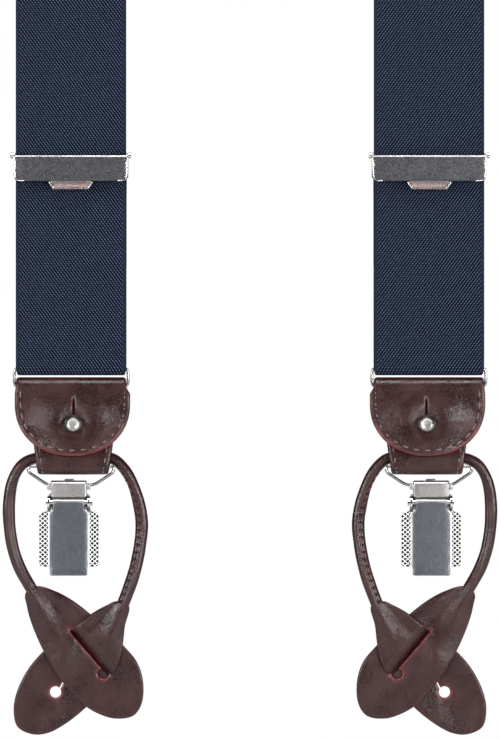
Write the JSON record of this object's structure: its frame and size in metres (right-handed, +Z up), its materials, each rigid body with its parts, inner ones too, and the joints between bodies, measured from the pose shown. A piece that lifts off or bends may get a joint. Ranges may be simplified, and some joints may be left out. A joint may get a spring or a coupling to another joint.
{
  "type": "suspenders",
  "caption": "Y-back dress suspenders in wide elastic webbing with slide adjusters, leather tabs, lever clips and rolled leather buttonhole loops, hung over a bar.",
  "frame": {"origin": "midway between the two straps, on the line where the undersides of their top folds rest on a bar", "axes": "+Z up, -Y towards the side that faces the viewer, +X to the viewer's right"},
  "size_m": [0.161, 0.052, 0.7013],
  "materials": {
    "webbing": "navy elastic webbing with a fine diagonal weave and plain selvedges",
    "leather": "dark brown smooth leather, burgundy cut edges, dusty brown stitching",
    "rolled_leather": "rolled and stitched dark leather cord, slightly glossy",
    "bright_wire": "polished nickel-plated wire",
    "satin_metal": "satin nickel plate",
    "adjuster_cover": "dark satin gunmetal, fine speckle, brighter edges",
    "clip_jaws": "nickel plate pressed with a diamond mesh on the jaw",
    "lever_plate": "blue-grey satin plate with fine scratches and bright side flanges"
  },
  "bodies": {
    "straps": {"left_strap": "webbing", "right_strap": "webbing", "back_strap": "webbing", "patch_outer": "leather", "patch_inner": "leather", "left_web_run": "webbing", "right_web_run": "webbing"},
    "left_end": {"left_web_loop": "webbing"},
    "left_adjuster": {"left_adjuster_frame": "satin_metal", "left_adjuster_pin": "bright_wire", "left_web_return": "webbing"},
    "left_cover": {"left_adjuster_cover": "adjuster_cover"},
    "left_ring": {"left_ring": "bright_wire"},
    "left_tab": {"left_tab": "leather", "left_stud": "satin_metal", "left_stud_screw": "bright_wire"},
    "left_flap": {"left_flap": "leather"},
    "left_bail": {"left_bail": "bright_wire"},
    "left_clip": {"left_clip_back": "clip_jaws", "left_clip_pin": "bright_wire"},
    "left_jaw": {"left_clip_jaw": "clip_jaws"},
    "left_lever": {"left_clip_lever": "lever_plate"},
    "left_loop": {"left_loop_cord": "rolled_leather", "left_leaf_a": "leather", "left_leaf_b": "leather"},
    "right_end": {"right_web_loop": "webbing"},
    "right_adjuster": {"right_adjuster_frame": "satin_metal", "right_adjuster_pin": "bright_wire", "right_web_return": "webbing"},
    "right_cover": {"right_adjuster_cover": "adjuster_cover"},
    "right_ring": {"right_ring": "bright_wire"},
    "right_tab": {"right_tab": "leather", "right_stud": "satin_metal", "right_stud_screw": "bright_wire"},
    "right_flap": {"right_flap": "leather"},
    "right_bail": {"right_bail": "bright_wire"},
    "right_clip": {"right_clip_back": "clip_jaws", "right_clip_pin": "bright_wire"},
    "right_jaw": {"right_clip_jaw": "clip_jaws"},
    "right_lever": {"right_clip_lever": "lever_plate"},
    "right_loop": {"right_loop_cord": "rolled_leather", "right_leaf_a": "leather", "right_leaf_b": "leather"},
    "back_ring": {"back_ring": "bright_wire"},
    "back_tab": {"back_tab": "leather", "back_stud": "satin_metal", "back_stud_screw": "bright_wire"},
    "back_flap": {"back_flap": "leather"},
    "back_bail": {"back_bail": "bright_wire"},
    "back_clip": {"back_clip_back": "clip_jaws", "back_clip_pin": "bright_wire"},
    "back_jaw": {"back_clip_jaw": "clip_jaws"},
    "back_lever": {"back_clip_lever": "lever_plate"},
    "back_loop": {"back_loop_cord": "rolled_leather", "back_leaf_a": "leather", "back_leaf_b": "leather"}
  },
  "joints": [
    {"name": "left_end_lift", "type": "slide", "parent": "straps", "child": "left_end", "axis": [0, 0, 1], "range_m": [-0.02, 0.075], "deforming": ["left_web_run"]},
    {"name": "left_adjuster_slide", "type": "slide", "parent": "left_end", "child": "left_adjuster", "axis": [0, 0, 1], "range_m": [-0.02, 0.075], "deforming": ["left_web_return"]},
    {"name": "left_cover_lift", "type": "hinge", "parent": "left_adjuster", "child": "left_cover", "pos_m": [-0.0583, -0.0206, -0.511], "axis": [-1, 0, 0], "range_deg": [0, 95]},
    {"name": "left_ring_swing", "type": "hinge", "parent": "left_end", "child": "left_ring", "pos_m": [-0.0583, -0.01635, -0.58015], "axis": [-1, 0, 0], "range_deg": [-25, 25]},
    {"name": "left_tab_swing", "type": "hinge", "parent": "left_ring", "child": "left_tab", "pos_m": [-0.0583, -0.01635, -0.58625], "axis": [-1, 0, 0], "range_deg": [-35, 35]},
    {"name": "left_flap_lift", "type": "hinge", "parent": "left_tab", "child": "left_flap", "pos_m": [-0.0583, -0.0182, -0.58655], "axis": [-1, 0, 0], "range_deg": [0, 80], "deforming": ["left_flap"]},
    {"name": "left_bail_swing", "type": "hinge", "parent": "left_tab", "child": "left_bail", "pos_m": [-0.0583, -0.01835, -0.6121], "axis": [-1, 0, 0], "range_deg": [-30, 40]},
    {"name": "left_clip_swing", "type": "hinge", "parent": "left_bail", "child": "left_clip", "pos_m": [-0.0583, -0.01835, -0.6182], "axis": [-1, 0, 0], "range_deg": [-25, 25]},
    {"name": "left_lever_lift", "type": "hinge", "parent": "left_clip", "child": "left_lever", "pos_m": [-0.059, -0.0203, -0.6238], "axis": [-1, 0, 0], "range_deg": [0, 95]},
    {"name": "left_jaw_open", "type": "hinge", "parent": "left_clip", "child": "left_jaw", "pos_m": [-0.059, -0.0186, -0.6254], "axis": [-1, 0, 0], "range_deg": [0, 13.3]},
    {"name": "left_loop_swing", "type": "hinge", "parent": "left_tab", "child": "left_loop", "pos_m": [-0.0583, -0.0156, -0.6094], "axis": [-1, 0, 0], "range_deg": [-35, 35]},
    {"name": "right_end_lift", "type": "slide", "parent": "straps", "child": "right_end", "axis": [0, 0, 1], "range_m": [-0.02, 0.075], "deforming": ["right_web_run"]},
    {"name": "right_adjuster_slide", "type": "slide", "parent": "right_end", "child": "right_adjuster", "axis": [0, 0, 1], "range_m": [-0.02, 0.075], "deforming": ["right_web_return"]},
    {"name": "right_cover_lift", "type": "hinge", "parent": "right_adjuster", "child": "right_cover", "pos_m": [0.0583, -0.0206, -0.511], "axis": [-1, 0, 0], "range_deg": [0, 95]},
    {"name": "right_ring_swing", "type": "hinge", "parent": "right_end", "child": "right_ring", "pos_m": [0.0583, -0.01635, -0.58015], "axis": [-1, 0, 0], "range_deg": [-25, 25]},
    {"name": "right_tab_swing", "type": "hinge", "parent": "right_ring", "child": "right_tab", "pos_m": [0.0583, -0.01635, -0.58625], "axis": [-1, 0, 0], "range_deg": [-35, 35]},
    {"name": "right_flap_lift", "type": "hinge", "parent": "right_tab", "child": "right_flap", "pos_m": [0.0583, -0.0182, -0.58655], "axis": [-1, 0, 0], "range_deg": [0, 80], "deforming": ["right_flap"]},
    {"name": "right_bail_swing", "type": "hinge", "parent": "right_tab", "child": "right_bail", "pos_m": [0.0583, -0.01835, -0.6121], "axis": [-1, 0, 0], "range_deg": [-30, 40]},
    {"name": "right_clip_swing", "type": "hinge", "parent": "right_bail", "child": "right_clip", "pos_m": [0.0583, -0.01835, -0.6182], "axis": [-1, 0, 0], "range_deg": [-25, 25]},
    {"name": "right_lever_lift", "type": "hinge", "parent": "right_clip", "child": "right_lever", "pos_m": [0.059, -0.0203, -0.6238], "axis": [-1, 0, 0], "range_deg": [0, 95]},
    {"name": "right_jaw_open", "type": "hinge", "parent": "right_clip", "child": "right_jaw", "pos_m": [0.059, -0.0186, -0.6254], "axis": [-1, 0, 0], "range_deg": [0, 13.3]},
    {"name": "right_loop_swing", "type": "hinge", "parent": "right_tab", "child": "right_loop", "pos_m": [0.0583, -0.0156, -0.6094], "axis": [-1, 0, 0], "range_deg": [-35, 35]},
    {"name": "back_ring_swing", "type": "hinge", "parent": "straps", "child": "back_ring", "pos_m": [0, 0.01635, -0.31015], "axis": [1, 0, 0], "range_deg": [-25, 25]},
    {"name": "back_tab_swing", "type": "hinge", "parent": "back_ring", "child": "back_tab", "pos_m": [0, 0.01635, -0.31625], "axis": [1, 0, 0], "range_deg": [-35, 35]},
    {"name": "back_flap_lift", "type": "hinge", "parent": "back_tab", "child": "back_flap", "pos_m": [0, 0.0182, -0.31655], "axis": [1, 0, 0], "range_deg": [0, 80], "deforming": ["back_flap"]},
    {"name": "back_bail_swing", "type": "hinge", "parent": "back_tab", "child": "back_bail", "pos_m": [0, 0.01835, -0.3421], "axis": [1, 0, 0], "range_deg": [-30, 40]},
    {"name": "back_clip_swing", "type": "hinge", "parent": "back_bail", "child": "back_clip", "pos_m": [0, 0.01835, -0.3482], "axis": [1, 0, 0], "range_deg": [-25, 25]},
    {"name": "back_lever_lift", "type": "hinge", "parent": "back_clip", "child": "back_lever", "pos_m": [0.0007, 0.0203, -0.3538], "axis": [1, 0, 0], "range_deg": [0, 95]},
    {"name": "back_jaw_open", "type": "hinge", "parent": "back_clip", "child": "back_jaw", "pos_m": [0.0007, 0.0186, -0.3554], "axis": [1, 0, 0], "range_deg": [0, 13.3]},
    {"name": "back_loop_swing", "type": "hinge", "parent": "back_tab", "child": "back_loop", "pos_m": [0, 0.0156, -0.3394], "axis": [1, 0, 0], "range_deg": [-35, 35]}
  ],
  "couplings": [
    {"joint": "left_adjuster_slide", "follows": "left_end_lift", "ratio": 1},
    {"joint": "left_jaw_open", "follows": "left_lever_lift", "ratio": 0.14},
    {"joint": "right_adjuster_slide", "follows": "right_end_lift", "ratio": 1},
    {"joint": "right_jaw_open", "follows": "right_lever_lift", "ratio": 0.14},
    {"joint": "back_jaw_open", "follows": "back_lever_lift", "ratio": 0.14}
  ]
}
